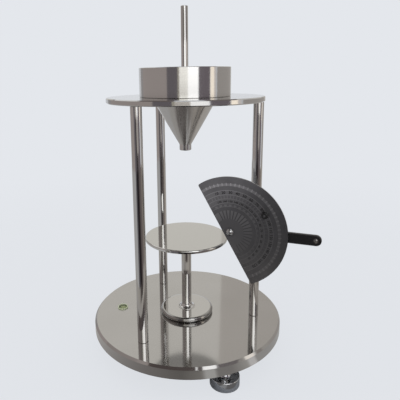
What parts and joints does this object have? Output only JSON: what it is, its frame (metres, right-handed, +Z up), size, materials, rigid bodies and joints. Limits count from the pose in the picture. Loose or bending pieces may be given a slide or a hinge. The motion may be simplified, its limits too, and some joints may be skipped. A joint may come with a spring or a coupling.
{
  "type": "angle of repose tester",
  "caption": "Steel funnel with stopper rod on a post stand with levelling feet, above a round sample table; a protractor on a swinging arm reads the slope of the powder heap.",
  "frame": {"origin": "on the axis of the stand, in the plane that the feet rest on", "axes": "+Z up along the axis of the stand; +X from the axis to the post that carries the protractor; -Y towards the front"},
  "size_m": [0.2679, 0.23, 0.404],
  "materials": {
    "satin_stainless": "satin, fine brushed",
    "polished_stainless": "polished",
    "plated_steel": "bright plated",
    "chromed_steel": "polished, knurled rim",
    "black_rubber": "matt",
    "dark_anodised": "matt anodised with light scale lines",
    "black_coated_steel": "satin black",
    "black_plastic": "matt",
    "clear_acrylic": "clear",
    "green_liquid": "clear green liquid"
  },
  "bodies": {
    "stand": {"base_plate": "satin_stainless", "post_right": "polished_stainless", "post_rear": "polished_stainless", "post_front": "polished_stainless", "post_screws": "plated_steel", "top_plate": "satin_stainless", "level_cup": "clear_acrylic", "level_fluid": "green_liquid", "level_lens": "clear_acrylic"},
    "funnel": {"funnel_skirt": "polished_stainless", "funnel_cone": "polished_stainless", "funnel_outlet": "polished_stainless"},
    "stopper": {"stopper_rod": "polished_stainless", "stopper_plug": "polished_stainless"},
    "sample_table": {"table_disc": "satin_stainless", "table_stem": "polished_stainless", "table_foot": "polished_stainless", "table_screw": "plated_steel"},
    "collar": {"stop_collar": "satin_stainless"},
    "thumb_screw": {"collar_screw": "plated_steel"},
    "swing_arm": {"swivel_hub": "satin_stainless", "arm": "black_coated_steel", "arm_screws": "plated_steel", "arm_rivet": "plated_steel", "pivot_screw": "plated_steel", "pivot_washer": "plated_steel", "pivot_nut": "plated_steel"},
    "dial": {"protractor": "dark_anodised", "turning_knob": "black_plastic", "knob_screw": "plated_steel"},
    "pad_front": {"foot_pad_front": "black_rubber"},
    "foot_front": {"foot_knob_front": "chromed_steel", "foot_stud_front": "plated_steel"},
    "pad_rear": {"foot_pad_rear": "black_rubber"},
    "foot_rear": {"foot_knob_rear": "chromed_steel", "foot_stud_rear": "plated_steel"},
    "pad_left": {"foot_pad_left": "black_rubber"},
    "foot_left": {"foot_knob_left": "chromed_steel", "foot_stud_left": "plated_steel"}
  },
  "joints": [
    {"name": "foot_front_height", "type": "slide", "parent": "stand", "child": "pad_front", "axis": [0, 0, 1], "range_m": [-0.00301, 0.00301]},
    {"name": "foot_front_turn", "type": "hinge", "parent": "pad_front", "child": "foot_front", "pos_m": [0.05011, -0.0834, 0.01], "axis": [0, 0, 1], "range_deg": [-864, 864]},
    {"name": "foot_rear_height", "type": "slide", "parent": "stand", "child": "pad_rear", "axis": [0, 0, 1], "range_m": [-0.00301, 0.00301]},
    {"name": "foot_rear_turn", "type": "hinge", "parent": "pad_rear", "child": "foot_rear", "pos_m": [0.04717, 0.0851, 0.01], "axis": [0, 0, 1], "range_deg": [-864, 864]},
    {"name": "foot_left_height", "type": "slide", "parent": "stand", "child": "pad_left", "axis": [0, 0, 1], "range_m": [-0.00301, 0.00301]},
    {"name": "foot_left_turn", "type": "hinge", "parent": "pad_left", "child": "foot_left", "pos_m": [-0.09728, -0.0017, 0.01], "axis": [0, 0, 1], "range_deg": [-864, 864]},
    {"name": "funnel_lift", "type": "slide", "parent": "stand", "child": "funnel", "axis": [0, 0, 1], "range_m": [0, 0.07]},
    {"name": "stopper_lift", "type": "slide", "parent": "funnel", "child": "stopper", "axis": [0, 0, 1], "range_m": [0, 0.12]},
    {"name": "table_draw", "type": "slide", "parent": "stand", "child": "sample_table", "axis": [0.5, 0.866, 0], "range_m": [0, 0.08]},
    {"name": "collar_height", "type": "slide", "parent": "stand", "child": "collar", "axis": [0, 0, 1], "range_m": [-0.003, 0.04]},
    {"name": "thumb_screw_turn", "type": "hinge", "parent": "collar", "child": "thumb_screw", "pos_m": [0.0864, 0.01461, 0.13265], "axis": [0.2267, 0.974, 0], "range_deg": [0, 360]},
    {"name": "arm_swing", "type": "hinge", "parent": "collar", "child": "swing_arm", "pos_m": [0.083, 0, 0.1507], "axis": [0, 0, 1], "range_deg": [-2, 120]},
    {"name": "protractor_turn", "type": "hinge", "parent": "swing_arm", "child": "dial", "pos_m": [0.05302, -0.01766, 0.1507], "axis": [-0.2267, -0.974, 0], "range_deg": [-10, 60]}
  ],
  "couplings": [
    {"joint": "foot_front_height", "follows": "foot_front_turn", "m_per_rad": 0.00019894},
    {"joint": "foot_rear_height", "follows": "foot_rear_turn", "m_per_rad": 0.00019894},
    {"joint": "foot_left_height", "follows": "foot_left_turn", "m_per_rad": 0.00019894}
  ]
}
